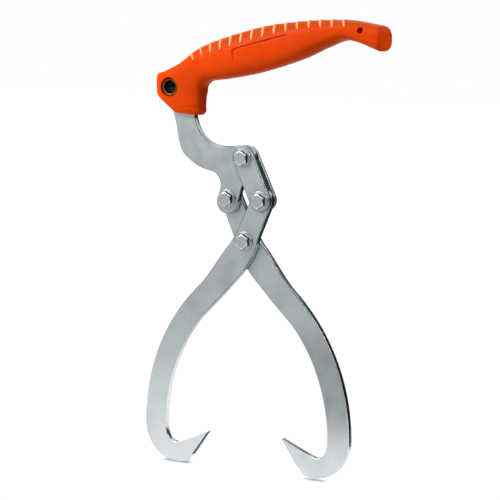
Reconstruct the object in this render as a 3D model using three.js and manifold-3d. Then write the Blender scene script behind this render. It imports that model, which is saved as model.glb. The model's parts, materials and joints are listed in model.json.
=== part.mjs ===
// Log lifting tongs: a moulded grip on a plate bracket, and a four-sided linkage that works two hooked jaws.
// Millimetres, +Z up, seen from the front along +Y. The drawing's zero is the main pivot, where the jaw arms
// cross, on the front face of the bracket. At the end the whole tool is moved, to have its zero in the grip.

import * as THREE from "three";
import { mergeVertices } from "three/addons/utils/BufferGeometryUtils.js";
import Module from "manifold-3d";

const wasm = await Module();
wasm.setup();

// Linkage: four equal sides, so the links always stay parallel to the right arm.
const sideLength = 33.8; // pivot to pivot
const restHalfAngle = 25; // degrees between each side and the linkage's middle line
const restLean = 0.8; // degrees, the linkage's top to the left of the upright
const plateThickness = 5; // bracket and arms
const linkThickness = 3;
const plateGap = 0.3; // running gap between two layers
const stripHalfWidth = 8.3; // upper arms and links

// Pivots
const shankRadius = 3;
const shankClearance = 0.25;
const sleeveRadius = 4.5; // outside
const sleeveClearance = 0.25; // sleeve in its plate
const seatGap = 0.1; // where a head, nut or sleeve bears on steel
const flangeRadius = 7.1;
const flangeThickness = 1.4;
const flangeEdge = 0.8;
const hexAcrossFlats = 10;
const hexThickness = 3.4;
const hexChamferWidth = 0.2; // across the face's edge
const hexChamferDrop = 1.1; // down the corners, at their line
const nutHexThickness = 4.4;
const shankProud = 1.2; // bolt end beyond its nut
const shankChamfer = 0.5;

// Jaw arms, measured from the main pivot
const jawReach = 83.9; // widest place, from the middle
const jawDrop = 172.4; // lowest place, under the main pivot
const tipReach = 29.4;
const tipDrop = 145.7;
const shoulderReach = 29; // how far down the strip its outer edge runs straight, from the arm's upper pivot

// Bracket
const bossRadius = 8.9; // round the upper pivot
const toeRadius = 8.5; // round the bracket pivot
const toeDrop = 2.7; // the toe's round sits this far below its pivot
const legRightWidth = 7.3; // from the line between its two pivots to the right edge
const legRightStart = 12; // where the straight right edge starts, from the bracket pivot
const legRightEnd = 24;

// Grip
const handleLength = 180.3;
const handleHeight = 72.1;
const handleSetback = 73.35; // left end, from the main pivot
const handleRise = 90.7; // collar's underside above the main pivot
const handleWidth = 26;
const tangClearance = 0.3;
const smallHoleRadius = 2.2;

// Tubular rivet, its bore is the hang hole
const rivetBoreRadius = 4.6;
const rivetTubeRadius = 5.5;
const rivetRimRadius = 6.8;
const rivetRimThickness = 1;
const rivetSetIn = 3.3; // rim below the grip's widest side
const rivetClearance = 0.3;

// Grip ribs and bare side panel
const ribCount = 15;
const ribRise = 0.8;
const ribEdgeRise = 0.2; // at a rib's own edges
const ribWidth = 2.2;
const ribCrownWidth = 1;
const ribRoot = 1.2; // how deep a rib's root goes into the grip
const panelDepth = 0.6;

const arcSteps = 12;
const roundSteps = 24;
const cutOverrun = 2;
const mergeDistance = 0.0001;

// Where the pivots are. The right arm is drawn with the linkage's middle line upright, then leant.
const halfAngle = THREE.MathUtils.degToRad(restHalfAngle);
const rhombusHalfWidth = sideLength * Math.sin(halfAngle);
const rhombusHalfHeight = sideLength * Math.cos(halfAngle);
const mainPivot = new THREE.Vector2(0, 0);
const drawnArmTop = new THREE.Vector2(-rhombusHalfWidth, rhombusHalfHeight);
const bracketPivot = leant(drawnArmTop);
const lowerLinkPivot = leant(new THREE.Vector2(rhombusHalfWidth, rhombusHalfHeight));
const upperLinkPivot = leant(new THREE.Vector2(0, rhombusHalfHeight + rhombusHalfHeight));

// Places in the grip, as shares of its length and height from its left end and its collar's underside
const rivetShare = [0.0729, 0.2789];
const smallHoleShare = [0.9184, 0.8891];
const collarLeftShare = [0.0674, 0.0277]; // where the bracket's edges enter the collar
const collarRightShare = [0.1695, -0.0159];
const gripMiddleShare = [0.478538, 0.694474]; // middle of the section half way along
const rivetCentre = inGrip(rivetShare);
const smallHoleCentre = inGrip(smallHoleShare);

// Layers, front to back
const frontLayer = 0;
const rearLayer = plateThickness + plateGap;
const frontLinkLayer = -plateGap - linkThickness;
const middleY = plateThickness / 2;
const sleeveHoleRadius = sleeveRadius + sleeveClearance;
const boltHoleRadius = shankRadius + shankClearance;

function leant(point) {
  return point.clone().rotateAround(new THREE.Vector2(), THREE.MathUtils.degToRad(restLean));
}

function inGrip([x, z]) {
  return new THREE.Vector2(x * handleLength - handleSetback, z * handleHeight + handleRise);
}

// Reads shares of the way from one point to another, sideways and upwards.
function between(from, to) {
  const { lerp } = THREE.MathUtils;
  return ([x, z]) => new THREE.Vector2(lerp(from.x, to.x, x), lerp(from.y, to.y, z));
}

// Solids for cutting and joining
function toSolid(geometry) {
  const bare = geometry.clone();
  bare.deleteAttribute("normal");
  bare.deleteAttribute("uv");
  const merged = mergeVertices(bare, mergeDistance);
  return new wasm.Manifold(
    new wasm.Mesh({
      numProp: 3,
      vertProperties: new Float32Array(merged.attributes.position.array),
      triVerts: new Uint32Array(merged.index.array),
    }),
  );
}

function toGeometry(solid) {
  const mesh = solid.getMesh();
  const geometry = new THREE.BufferGeometry();
  const positions = new Float32Array(mesh.vertProperties);
  geometry.setAttribute("position", new THREE.BufferAttribute(positions, mesh.numProp));
  geometry.setIndex(new THREE.BufferAttribute(new Uint32Array(mesh.triVerts), 1));
  geometry.computeVertexNormals();
  return geometry;
}

// A flat plate from its drawing in X and Z, with its front face at frontY.
function plate(shape, frontY, thickness) {
  const geometry = new THREE.ExtrudeGeometry(shape, {
    depth: thickness,
    bevelEnabled: false,
    curveSegments: arcSteps,
  });
  geometry.rotateX(Math.PI / 2);
  geometry.translate(0, frontY + thickness, 0);
  return geometry;
}

// A turned piece round a Y axis through the point at. The profile is a list of [radius, y].
function turned(profile, at) {
  const points = profile.map(([radius, y]) => new THREE.Vector2(radius, y));
  const geometry = new THREE.LatheGeometry(points, roundSteps);
  geometry.translate(at.x, 0, at.y);
  return geometry;
}

function roundHole(shape, at, radius) {
  const hole = new THREE.Path();
  hole.absarc(at.x, at.y, radius, 0, Math.PI * 2, true);
  shape.holes.push(hole);
}

// Carries an outline on through rows of shares, which place turns into points. A row of one is a straight
// line, a row of three is a curve with two pulling points.
function carryOn(shape, rows, place) {
  for (const row of rows) {
    const places = row.flatMap((share) => place(share).toArray());
    if (row.length === 1) {
      shape.lineTo(...places);
    } else {
      shape.bezierCurveTo(...places);
    }
  }
}

// Point beside the line from one pivot to another: along it, and off to its left.
function beside(from, to, along, off) {
  const direction = to.clone().sub(from).normalize();
  const left = new THREE.Vector2(-direction.y, direction.x);
  return from.clone().addScaledVector(direction, along).addScaledVector(left, off);
}

function headingOf(from, to) {
  return to.clone().sub(from).angle();
}

// A jaw arm's edges below its upper strip, as shares of jawReach and of jawDrop downwards.
const armInnerShares = [
  [[-0.135, -0.012]],
  [[-0.09, 0.105], [0.12, 0.185], [0.216, 0.241]],
  [[0.431, 0.345]],
  [[0.662, 0.473], [0.79, 0.662], [0.79, 0.829]],
  [[0.79, 0.856], [0.782, 0.911], [0.679, 0.911]],
  [[0.588, 0.896]],
];
const armOuterShares = [
  [[0.509, 0.957]],
  [[0.566, 0.99]],
  [[0.64, 0.998]],
  [[0.88, 1.004], [1, 0.907], [1, 0.829]],
  [[0.999, 0.708], [0.948, 0.448], [0.486, 0.221]],
  [[0.347, 0.162], [0.266, 0.082], [0.138, 0.012]],
];

// A jaw arm as a drawing, its hook to the right and its upper end to the left: a straight upper strip that
// turns over the main pivot into a long bow and ends in a ground hook.
function jawArmShape() {
  const shape = new THREE.Shape();
  const heading = headingOf(drawnArmTop, mainPivot);
  const inArm = between(mainPivot, new THREE.Vector2(jawReach, -jawDrop));
  const shoulder = beside(drawnArmTop, mainPivot, shoulderReach, stripHalfWidth);
  shape.absarc(
    drawnArmTop.x,
    drawnArmTop.y,
    stripHalfWidth,
    heading + Math.PI / 2,
    heading - Math.PI / 2,
    false,
  );
  carryOn(shape, armInnerShares, inArm);
  shape.lineTo(tipReach, -tipDrop);
  carryOn(shape, armOuterShares, inArm);
  shape.lineTo(shoulder.x, shoulder.y);
  shape.closePath();
  roundHole(shape, drawnArmTop, sleeveHoleRadius);
  roundHole(shape, mainPivot, sleeveHoleRadius);
  return shape;
}

// The drawing with each of its points moved.
function redrawn(shape, move) {
  const { shape: outline, holes } = shape.extractPoints(arcSteps);
  const result = new THREE.Shape(outline.map(move));
  result.holes = holes.map((hole) => new THREE.Path(hole.map(move)));
  return result;
}

// The bracket's left edge from the toe (0) to the collar (1), drawn downwards, and its top edge from the boss
// (0) to the collar (1).
const bracketLeftShares = [
  [[0.847, 0.736], [0.903, 0.572], [0.678, 0.489]],
  [[0.517, 0.412], [0.356, 0.361], [0.161, 0.348]],
  [[0.033, 0.339], [-0.055, 0.287], [-0.074, 0.208]],
  [[-0.087, 0.133], [0, 0.065], [0, 0]],
];
const bracketTopShares = [
  [[0.125, 0], [0.271, -0.076], [0.417, -0.076]],
  [[0.679, -0.076], [0.913, 0.206], [1, 1]],
];

// The tang inside the grip, from the bracket's right edge at the collar round to its left edge
const tangShares = [
  [[0.17, 0.233]],
  [[0.173, 0.414], [0.237, 0.471], [0.339, 0.536]],
  [[0.475, 0.613], [0.576, 0.722], [0.652, 0.8]],
  [[0.691, 0.831], [0.691, 0.914], [0.652, 0.902]],
  [[0.475, 0.825], [0.305, 0.645], [0.197, 0.542]],
  [[0.118, 0.465], [0.024, 0.401], [0.024, 0.292]],
  [[0.024, 0.211], [0.069, 0.16], [0.069, 0.089]],
];

function bracketShape() {
  const shape = new THREE.Shape();
  const heading = headingOf(bracketPivot, upperLinkPivot);
  const toe = new THREE.Vector2(bracketPivot.x, bracketPivot.y - toeDrop);
  const toeLeft = new THREE.Vector2(toe.x - toeRadius, toe.y);
  const bossTop = new THREE.Vector2(upperLinkPivot.x, upperLinkPivot.y + bossRadius);
  const collarLeft = inGrip(collarLeftShare);
  const collarRight = inGrip(collarRightShare);
  const legStart = beside(bracketPivot, upperLinkPivot, legRightStart, -legRightWidth);
  const legEnd = beside(bracketPivot, upperLinkPivot, legRightEnd, -legRightWidth);
  shape.moveTo(collarLeft.x, collarLeft.y);
  carryOn(shape, bracketLeftShares, between(toeLeft, collarLeft));
  // toe under the bracket pivot, then the leg's right edge up to the boss
  shape.absarc(toe.x, toe.y, toeRadius, Math.PI, heading - Math.PI / 2, false);
  shape.lineTo(legStart.x, legStart.y);
  shape.lineTo(legEnd.x, legEnd.y);
  shape.absarc(upperLinkPivot.x, upperLinkPivot.y, bossRadius, heading - Math.PI / 2, Math.PI / 2, false);
  carryOn(shape, bracketTopShares, between(bossTop, collarRight));
  carryOn(shape, tangShares, inGrip);
  shape.closePath();
  roundHole(shape, bracketPivot, sleeveHoleRadius);
  roundHole(shape, upperLinkPivot, sleeveHoleRadius);
  roundHole(shape, rivetCentre, rivetTubeRadius + rivetClearance);
  return shape;
}

function linkShape() {
  const shape = new THREE.Shape();
  const heading = headingOf(upperLinkPivot, lowerLinkPivot);
  const from = upperLinkPivot;
  const to = lowerLinkPivot;
  shape.absarc(from.x, from.y, stripHalfWidth, heading + Math.PI / 2, heading - Math.PI / 2, false);
  shape.absarc(to.x, to.y, stripHalfWidth, heading - Math.PI / 2, heading + Math.PI / 2, false);
  shape.closePath();
  roundHole(shape, from, boltHoleRadius);
  roundHole(shape, to, boltHoleRadius);
  return shape;
}

// The grip is a loft: sections stand across it from the outer edge to the inner edge, from its free end,
// along the grip and round into the collar. Each row has the outer point and the inner point, both as shares
// of the handle's length and height, the half width at each of them as a share of handleWidth, and how square
// the section is.
const sectionShares = [
  [1, 0.869, 1, 0.741, 0.385, 0.385, 3.4],
  [0.999, 0.883, 0.999, 0.727, 0.42, 0.42, 3.4],
  [0.989, 0.931, 0.989, 0.692, 0.48, 0.48, 3.2],
  [0.958, 0.949, 0.961, 0.713, 0.5, 0.49, 3],
  [0.879, 0.981, 0.892, 0.772, 0.5, 0.48, 2.6],
  [0.825, 0.987, 0.832, 0.786, 0.5, 0.48, 2.5],
  [0.741, 0.983, 0.749, 0.709, 0.5, 0.49, 2.5],
  [0.63, 0.962, 0.64, 0.586, 0.5, 0.5, 2.5],
  [0.485, 0.911, 0.468, 0.451, 0.5, 0.5, 2.5],
  [0.329, 0.808, 0.321, 0.377, 0.5, 0.5, 2.6],
  [0.196, 0.684, 0.244, 0.35, 0.5, 0.44, 2.8],
  [0.107, 0.527, 0.213, 0.298, 0.5, 0.38, 3.2],
  [0.038, 0.441, 0.208, 0.22, 0.5, 0.34, 3.6],
  [0.003, 0.405, 0.206, 0.174, 0.5, 0.32, 3.6],
  [0, 0.29, 0.205, 0.12, 0.5, 0.31, 3.6],
  [0.005, 0.193, 0.205, 0.075, 0.49, 0.31, 3.4],
  [0.048, 0.091, 0.207, 0.033, 0.45, 0.29, 3],
  [0.076, 0.023, 0.197, 0, 0.36, 0.26, 2.6],
];
const rowSteps = 3; // rings from one row to the next
const sectionSides = 24;

// Smooth columns through the rows, read back at any place along the grip.
const sectionColumns = sectionShares[0].map(
  (_, column) => new THREE.SplineCurve(sectionShares.map((row, i) => new THREE.Vector2(i, row[column]))),
);

// The section at a place from 0, the free end, to 1, the collar's underside.
function sectionAt(place) {
  const values = sectionColumns.map((curve) => curve.getPoint(place).y);
  const [outerX, outerZ, innerX, innerZ, outerHalf, innerHalf, square] = values;
  const halfWidths = [outerHalf * handleWidth, innerHalf * handleWidth];
  return { outer: inGrip([outerX, outerZ]), inner: inGrip([innerX, innerZ]), halfWidths, square };
}

// A point on the grip's skin: round the section from the outer edge (turn 0) by the front (turn 0.25), with a
// rise over the skin.
function skinPoint(section, turn, rise) {
  const angle = turn * Math.PI * 2;
  const middle = section.outer.clone().add(section.inner).divideScalar(2);
  const half = section.outer.clone().sub(section.inner).divideScalar(2);
  const power = 2 / section.square;
  const up = Math.sign(Math.cos(angle)) * Math.abs(Math.cos(angle)) ** power;
  const side = Math.sign(Math.sin(angle)) * Math.abs(Math.sin(angle)) ** power;
  const upGrowth = (half.length() + rise) / half.length();
  const point = middle.addScaledVector(half, up * upGrowth);
  const halfWidth = THREE.MathUtils.lerp(...section.halfWidths, (1 - up) / 2);
  return new THREE.Vector3(point.x, middleY - side * (halfWidth + rise), point.y);
}

// A closed solid from rings of the same number of points, with a flat cap at each end.
function ringSolid(rings) {
  const count = rings[0].length;
  const positions = rings.flat().flatMap((point) => [point.x, point.y, point.z]);
  const index = [];
  for (let ring = 0; ring + 1 < rings.length; ring++) {
    for (let side = 0; side < count; side++) {
      const a = ring * count + side;
      const b = ring * count + ((side + 1) % count);
      index.push(a, b + count, b, a, a + count, b + count);
    }
  }
  for (const [ring, flip] of [[0, true], [rings.length - 1, false]]) {
    const centre = positions.length / 3;
    const middle = new THREE.Vector3();
    rings[ring].forEach((point) => middle.add(point));
    middle.divideScalar(count);
    positions.push(middle.x, middle.y, middle.z);
    for (let side = 0; side < count; side++) {
      const a = ring * count + side;
      const b = ring * count + ((side + 1) % count);
      index.push(...(flip ? [a, b, centre] : [b, a, centre]));
    }
  }
  const geometry = new THREE.BufferGeometry();
  geometry.setAttribute("position", new THREE.Float32BufferAttribute(positions, 3));
  geometry.setIndex(index);
  return geometry;
}

function gripBody() {
  const rings = [];
  const steps = (sectionShares.length - 1) * rowSteps;
  for (let step = 0; step <= steps; step++) {
    const section = sectionAt(step / steps);
    const ring = [];
    for (let side = 0; side < sectionSides; side++) {
      ring.push(skinPoint(section, side / sectionSides, 0));
    }
    rings.push(ring);
  }
  return ringSolid(rings);
}

// The ribs are spread evenly along the grip's outer edge, between two shares of its length.
const ribSpreadShares = { first: 0.158, last: 0.708 };
const ribTurnShare = 0.205; // how far each side of the top a rib reaches, of the way round
const ribSides = 8;
const outerEdge = new THREE.SplineCurve(sectionShares.map(inGrip));

// One raised rib over the top of the grip, from the front flank to the rear flank.
function rib(lengthShare) {
  const edgeLength = outerEdge.getLength();
  const rings = [];
  for (const [offset, rise] of [
    [-ribWidth / 2, ribEdgeRise],
    [-ribCrownWidth / 2, ribRise],
    [ribCrownWidth / 2, ribRise],
    [ribWidth / 2, ribEdgeRise],
  ]) {
    const section = sectionAt(outerEdge.getUtoTmapping(lengthShare + offset / edgeLength));
    const ring = [];
    for (let side = ribSides; side >= 0; side--) {
      ring.push(skinPoint(section, ribTurnShare * (1 - (2 * side) / ribSides), -ribRoot));
    }
    for (let side = 0; side <= ribSides; side++) {
      const atEnd = side === 0 || side === ribSides;
      ring.push(skinPoint(section, ribTurnShare * (1 - (2 * side) / ribSides), atEnd ? ribEdgeRise : rise));
    }
    rings.push(ring.reverse());
  }
  return ringSolid(rings);
}

function crossHole(at, radius, fromY, toY) {
  const geometry = new THREE.CylinderGeometry(radius, radius, toY - fromY, roundSteps);
  geometry.translate(at.x, (fromY + toY) / 2, at.y);
  return toSolid(geometry);
}

// The tang's room in the grip is the bracket's own drawing, cut with a gap in front and behind.
function tangRoom() {
  return toSolid(plate(bracketShape(), -tangClearance, plateThickness + tangClearance * 2));
}

// The bare side panel's outline, as shares of the handle's length and height.
const panelStartShare = [0.3692, 0.5743];
const panelShares = [
  [[0.372, 0.526], [0.395, 0.524], [0.421, 0.541]],
  [[0.493, 0.589]],
  [[0.58, 0.653]],
  [[0.61, 0.678], [0.628, 0.688], [0.623, 0.729]],
  [[0.615, 0.8]],
  [[0.612, 0.84], [0.605, 0.838], [0.584, 0.828]],
  [[0.534, 0.795]],
  [[0.39, 0.698]],
  [[0.372, 0.688], [0.364, 0.678], [0.365, 0.658]],
];

function panelRoom(fromY, toY) {
  const shape = new THREE.Shape();
  const start = inGrip(panelStartShare);
  shape.moveTo(start.x, start.y);
  carryOn(shape, panelShares, inGrip);
  shape.closePath();
  return toSolid(plate(shape, fromY, toY - fromY));
}

function handleGeometry() {
  const faceY = middleY - handleWidth / 2;
  const backY = middleY + handleWidth / 2;
  const frontOut = faceY - cutOverrun;
  const backOut = backY + cutOverrun;
  let solid = toSolid(gripBody());
  for (let i = 0; i < ribCount; i++) {
    const lengthShare = THREE.MathUtils.lerp(ribSpreadShares.first, ribSpreadShares.last, i / (ribCount - 1));
    solid = solid.add(toSolid(rib(lengthShare)));
  }
  const recessRadius = rivetRimRadius + rivetClearance;
  const recessDepth = rivetSetIn + rivetRimThickness + rivetClearance;
  const cuts = [
    tangRoom(),
    panelRoom(frontOut, faceY + panelDepth),
    panelRoom(backY - panelDepth, backOut),
    crossHole(rivetCentre, rivetTubeRadius + rivetClearance, faceY, backY),
    crossHole(rivetCentre, recessRadius, frontOut, faceY + recessDepth),
    crossHole(rivetCentre, recessRadius, backY - recessDepth, backOut),
    crossHole(smallHoleCentre, smallHoleRadius, frontOut, backOut),
  ];
  for (const cut of cuts) {
    solid = solid.subtract(cut);
  }
  return toGeometry(solid);
}

function rivetGeometry() {
  const half = handleWidth / 2 - rivetSetIn;
  const neck = half - rivetRimThickness;
  return turned(
    [
      [rivetBoreRadius, middleY - half],
      [rivetRimRadius, middleY - half],
      [rivetRimRadius, middleY - neck],
      [rivetTubeRadius, middleY - neck],
      [rivetTubeRadius, middleY + neck],
      [rivetRimRadius, middleY + neck],
      [rivetRimRadius, middleY + half],
      [rivetBoreRadius, middleY + half],
      [rivetBoreRadius, middleY - half],
    ],
    rivetCentre,
  );
}

// A hexagon with a point up and its outer face chamfered, on a seat. faceSign is -1 for a face to the front.
function hexSolid(at, seatY, thickness, faceSign) {
  const corner = hexAcrossFlats / 2 / Math.cos(Math.PI / 6);
  const prism = new THREE.CylinderGeometry(corner, corner, thickness, 6);
  prism.translate(at.x, seatY + (faceSign * thickness) / 2, at.y);
  const faceY = seatY + faceSign * thickness;
  const profile = [
    [0, seatY - faceSign * cutOverrun],
    [corner + cutOverrun, seatY - faceSign * cutOverrun],
    [corner + cutOverrun, faceY - faceSign * (hexChamferDrop + hexChamferDrop)],
    [hexAcrossFlats / 2 - hexChamferWidth, faceY],
    [0, faceY],
  ];
  const ordered = faceSign > 0 ? profile : profile.reverse();
  return toSolid(prism).intersect(toSolid(turned(ordered, at)));
}

function flangeProfile(seatY, faceSign) {
  const profile = [
    [0, seatY],
    [flangeRadius, seatY],
    [flangeRadius, seatY + faceSign * flangeEdge],
    [hexAcrossFlats / 2, seatY + faceSign * flangeThickness],
    [0, seatY + faceSign * flangeThickness],
  ];
  return faceSign > 0 ? profile : profile.reverse();
}

// A hexagon flange bolt whose head bears at headY and whose shank runs back to endY.
function boltGeometry(at, headY, endY) {
  const hexSeat = headY - flangeThickness + seatGap;
  const shank = [
    [0, headY - flangeThickness / 2],
    [shankRadius, headY - flangeThickness / 2],
    [shankRadius, endY - shankChamfer],
    [shankRadius - shankChamfer, endY],
    [0, endY],
  ];
  const head = hexSolid(at, hexSeat, hexThickness + seatGap, -1);
  const flange = toSolid(turned(flangeProfile(headY, -1), at));
  return toGeometry(head.add(flange).add(toSolid(turned(shank, at))));
}

function nutGeometry(at, seatY) {
  const hex = hexSolid(at, seatY + flangeThickness - seatGap, nutHexThickness + seatGap, 1);
  const flange = toSolid(turned(flangeProfile(seatY, 1), at));
  const endY = seatY + flangeThickness + nutHexThickness + cutOverrun;
  const bore = crossHole(at, boltHoleRadius, seatY - cutOverrun, endY);
  return toGeometry(hex.add(flange).subtract(bore));
}

function sleeveGeometry(at, fromY, toY) {
  return turned(
    [
      [boltHoleRadius, fromY],
      [sleeveRadius, fromY],
      [sleeveRadius, toY],
      [boltHoleRadius, toY],
      [boltHoleRadius, fromY],
    ],
    at,
  );
}

const finishes = {
  steel: { color: 0xaeb3b6, roughness: 0.38, metalness: 1 },
  zinc: { color: 0xb9bec1, roughness: 0.32, metalness: 1 },
  orange: { color: 0xe2480a, roughness: 0.42, metalness: 0 },
};

const tongs = new THREE.Group();

function addPiece(name, geometry, finish) {
  const mesh = new THREE.Mesh(geometry, new THREE.MeshStandardMaterial(finishes[finish]));
  mesh.name = name;
  tongs.add(mesh);
}

// The two jaw arms are one pressing. The left one is turned over: its drawing is mirrored.
const rightArm = redrawn(jawArmShape(), leant);
const leftArm = redrawn(jawArmShape(), (point) => leant(new THREE.Vector2(-point.x, point.y)));

addPiece("handle", handleGeometry(), "orange");
addPiece("handle_rivet", rivetGeometry(), "zinc");
addPiece("bracket", plate(bracketShape(), frontLayer, plateThickness), "steel");
addPiece("front_link", plate(linkShape(), frontLinkLayer, linkThickness), "steel");
addPiece("rear_link", plate(linkShape(), rearLayer, linkThickness), "steel");
addPiece("right_jaw_arm", plate(rightArm, rearLayer, plateThickness), "steel");
addPiece("left_jaw_arm", plate(leftArm, frontLayer, plateThickness), "steel");

// The link bolts clamp both links on a sleeve as long as the plate between them is thick. The other two bolts
// clamp a sleeve through both plates.
const linkBack = rearLayer + linkThickness;
const armBack = rearLayer + plateThickness;
const linkSleeve = [-plateGap, rearLayer];
const plateSleeve = [frontLayer, armBack];
const pivots = [
  { name: "upper_link", at: upperLinkPivot, front: frontLinkLayer, back: linkBack, sleeve: linkSleeve },
  { name: "lower_link", at: lowerLinkPivot, front: frontLinkLayer, back: linkBack, sleeve: linkSleeve },
  { name: "bracket_pivot", at: bracketPivot, front: frontLayer, back: armBack, sleeve: plateSleeve },
  { name: "main_pivot", at: mainPivot, front: frontLayer, back: armBack, sleeve: plateSleeve },
];
for (const { name, at, front, back, sleeve } of pivots) {
  const nutY = back + seatGap;
  const endY = nutY + flangeThickness + nutHexThickness + shankProud;
  addPiece(name + "_bolt", boltGeometry(at, front - seatGap, endY), "zinc");
  addPiece(name + "_nut", nutGeometry(at, nutY), "zinc");
  addPiece(name + "_sleeve", sleeveGeometry(at, sleeve[0] + seatGap, sleeve[1] - seatGap), "zinc");
}

// Zero in the middle of the grip, where a hand or a hook holds the tool up.
const gripMiddle = inGrip(gripMiddleShare);
tongs.position.set(-gripMiddle.x, -middleY, -gripMiddle.y);

export default tongs;
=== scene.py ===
import json
import math

import bmesh
import bpy
import numpy as np
from mathutils import Matrix, Vector
from mathutils.geometry import tessellate_polygon


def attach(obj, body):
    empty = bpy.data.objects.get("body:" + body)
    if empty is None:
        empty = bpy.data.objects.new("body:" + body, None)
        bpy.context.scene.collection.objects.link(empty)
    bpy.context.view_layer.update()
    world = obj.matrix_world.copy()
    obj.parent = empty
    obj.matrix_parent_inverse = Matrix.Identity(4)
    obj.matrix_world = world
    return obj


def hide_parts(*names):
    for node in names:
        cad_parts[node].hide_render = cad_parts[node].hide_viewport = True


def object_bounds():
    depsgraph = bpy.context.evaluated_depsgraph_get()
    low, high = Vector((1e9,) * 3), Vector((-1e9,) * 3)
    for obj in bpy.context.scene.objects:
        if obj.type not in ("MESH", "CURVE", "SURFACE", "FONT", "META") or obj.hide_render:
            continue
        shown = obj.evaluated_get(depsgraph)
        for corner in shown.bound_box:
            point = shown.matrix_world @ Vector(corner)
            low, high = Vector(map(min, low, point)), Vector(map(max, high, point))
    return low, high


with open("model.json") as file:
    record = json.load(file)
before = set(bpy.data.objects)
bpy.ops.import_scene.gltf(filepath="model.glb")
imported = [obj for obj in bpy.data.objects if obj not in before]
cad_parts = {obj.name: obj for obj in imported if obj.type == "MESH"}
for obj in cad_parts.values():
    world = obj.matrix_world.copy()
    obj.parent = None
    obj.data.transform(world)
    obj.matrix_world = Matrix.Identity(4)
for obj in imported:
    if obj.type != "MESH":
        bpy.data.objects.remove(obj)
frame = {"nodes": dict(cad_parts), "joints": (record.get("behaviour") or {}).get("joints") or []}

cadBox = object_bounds()  # kept from before anything is added

# The drawing's sizes are in millimetres, its zero on the bracket's front face at the main pivot.
mm = 0.001
jointPlaces = {joint["name"]: joint["pos_m"] for joint in frame["joints"]}
drawingZero = Vector(jointPlaces["left_jaw_swing"]) + Vector((0, -2.5 * mm, 0))  # the joint is amid the plate


def toRow(x, y, z):
    return (drawingZero.x + x * mm, drawingZero.y + y * mm, drawingZero.z + z * mm)


def toLinear(hexCode):
    # sRGB hex to the linear colour that a shader wants
    values = [int(hexCode[i:i + 2], 16) / 255 for i in (1, 3, 5)]
    return tuple(v / 12.92 if v <= 0.04045 else ((v + 0.055) / 1.055) ** 2.4 for v in values) + (1,)


def fill(tree, node, inputs):
    # an input that is a socket is linked, a hex colour is made linear, and any other is its value
    for key, value in inputs.items():
        if isinstance(value, bpy.types.NodeSocket):
            tree.links.new(value, node.inputs[key])
        else:
            isColour = isinstance(value, str) and value.startswith("#")
            node.inputs[key].default_value = toLinear(value) if isColour else value


def addNode(tree, kind, inputs=None, **settings):
    # one node with its settings and its inputs
    made = tree.nodes.new(kind)
    for name, value in settings.items():
        setattr(made, name, value)
    fill(tree, made, inputs or {})
    return made


def maths(operation, *values):
    # a helper that is given sockets works in the tree that they are in
    tree = next(value.id_data for value in values if isinstance(value, bpy.types.NodeSocket))
    return addNode(tree, "ShaderNodeMath", dict(enumerate(values)), operation=operation).outputs[0]


def ramp(value, fromLow, fromHigh, toLow=0.0, toHigh=1.0, smooth=True):
    inputs = {"Value": value, "From Min": fromLow, "From Max": fromHigh, "To Min": toLow, "To Max": toHigh}
    kind = "SMOOTHSTEP" if smooth else "LINEAR"
    return addNode(value.id_data, "ShaderNodeMapRange", inputs, interpolation_type=kind).outputs[0]


def mixColours(share, first, second):
    return addNode(share.id_data, "ShaderNodeMix", {0: share, 6: first, 7: second}, data_type="RGBA").outputs[2]


def emptyTree(owner):
    owner.use_nodes = True
    owner.node_tree.nodes.clear()
    return owner.node_tree


def newMaterial(name):
    material = bpy.data.materials.new(name)
    tree = emptyTree(material)
    shader = addNode(tree, "ShaderNodeBsdfPrincipled")
    addNode(tree, "ShaderNodeOutputMaterial", {"Surface": shader.outputs[0]})
    return material, tree, shader, addNode(tree, "ShaderNodeTexCoord").outputs["Object"]


def attributeOf(tree, name):
    return addNode(tree, "ShaderNodeAttribute", attribute_name=name).outputs["Fac"]


def heightOf(place):
    return addNode(place.id_data, "ShaderNodeSeparateXYZ", {0: place}).outputs["Z"]


def noiseAt(place, sizeMm, detail=2.0, roughness=0.5, distortion=0.0):
    # noise whose blots are about sizeMm across
    inputs = {"Vector": place, "Scale": 1 / (sizeMm * mm), "Detail": detail, "Roughness": roughness,
              "Distortion": distortion}
    return addNode(place.id_data, "ShaderNodeTexNoise", inputs).outputs[0]


def stretchedAt(place, scale, turn=(0, 0, 0)):
    inputs = {"Vector": place, "Scale": scale, "Rotation": turn}
    return addNode(place.id_data, "ShaderNodeMapping", inputs).outputs[0]


def bumpOf(height, depthMm, strength=1.0, under=None):
    inputs = {"Height": height, "Distance": depthMm * mm, "Strength": strength}
    if under is not None:
        inputs["Normal"] = under
    return addNode(height.id_data, "ShaderNodeBump", inputs).outputs[0]


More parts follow.
